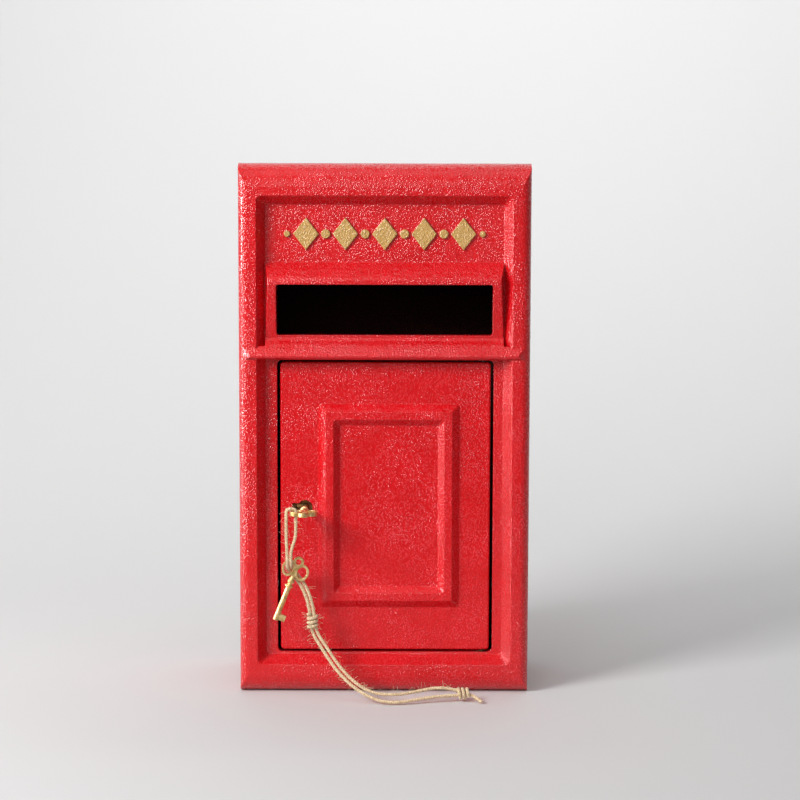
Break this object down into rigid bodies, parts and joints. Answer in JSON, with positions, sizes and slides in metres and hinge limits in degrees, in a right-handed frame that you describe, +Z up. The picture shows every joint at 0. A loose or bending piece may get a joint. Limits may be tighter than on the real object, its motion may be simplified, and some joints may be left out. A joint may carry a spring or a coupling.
{
  "type": "cast iron letter box",
  "caption": "Upright wall letter box of red enamelled cast iron with a hooded slot, a hinged locking door, a key in the lock and a spare key on doubled twine.",
  "frame": {"origin": "centre of the foot, on the surface the box stands on", "axes": "+X to the right as seen from the front, +Y to the wall, +Z up"},
  "size_m": [0.208, 0.1451, 0.381],
  "materials": {
    "red_enamel_front": "thick gloss red enamel over sandy cast iron, the raised ornament painted dull gold",
    "red_enamel_body": "gloss red enamel over sandy cast iron",
    "red_enamel_back": "gloss red enamel over sandy cast iron",
    "red_enamel_door": "thick gloss red enamel over sandy cast iron",
    "zinc_screws": "zinc plated steel",
    "steel_pins": "plain steel",
    "brass_lock": "dull brass",
    "brass_bolt": "worn brass",
    "brass_key": "cast brass, rubbed bright on its edges",
    "jute": "natural jute twine with loose fibres"
  },
  "bodies": {
    "box": {"front_frame": "red_enamel_front", "body_shell": "red_enamel_body", "back_plate": "red_enamel_back", "frame_screws": "zinc_screws", "back_screws": "zinc_screws", "hinge_pin_upper": "steel_pins", "hinge_pin_lower": "steel_pins", "hinge_washer": "brass_lock"},
    "door": {"door": "red_enamel_door", "lock_case": "brass_lock", "lock_cover": "brass_lock", "drill_pin": "steel_pins", "bolt_spring": "steel_pins", "lock_screws": "zinc_screws", "cover_screws": "zinc_screws"},
    "bolt": {"lock_bolt": "brass_bolt"},
    "string": {"twine_loop": "jute", "twine_left": "jute", "twine_right": "jute", "knot_upper": "jute", "knot_lower": "jute"},
    "key": {"key": "brass_key"},
    "spare": {"spare_key": "brass_key"}
  },
  "joints": [
    {"name": "door_swing", "type": "hinge", "parent": "box", "child": "door", "pos_m": [0.0717, -0.0415, 0.135], "axis": [0, 0, 1], "range_deg": [0, 100]},
    {"name": "key_withdraw", "type": "slide", "parent": "door", "child": "string", "axis": [0, -1, 0], "range_m": [0, 0.018]},
    {"name": "key_turn", "type": "hinge", "parent": "string", "child": "key", "pos_m": [-0.057, -0.0697, 0.134], "axis": [0, -1, 0], "range_deg": [0, 360], "deforming": ["twine_loop"]},
    {"name": "bolt_throw", "type": "slide", "parent": "door", "child": "bolt", "axis": [-1, 0, 0], "range_m": [0, 0.008]},
    {"name": "spare_key_swing", "type": "hinge", "parent": "string", "child": "spare", "pos_m": [-0.067, -0.066, 0.0968], "axis": [0, 1, 0], "range_deg": [-8, 8]}
  ],
  "couplings": [
    {"joint": "bolt_throw", "follows": "key_turn", "m_per_rad": 0.001273}
  ]
}
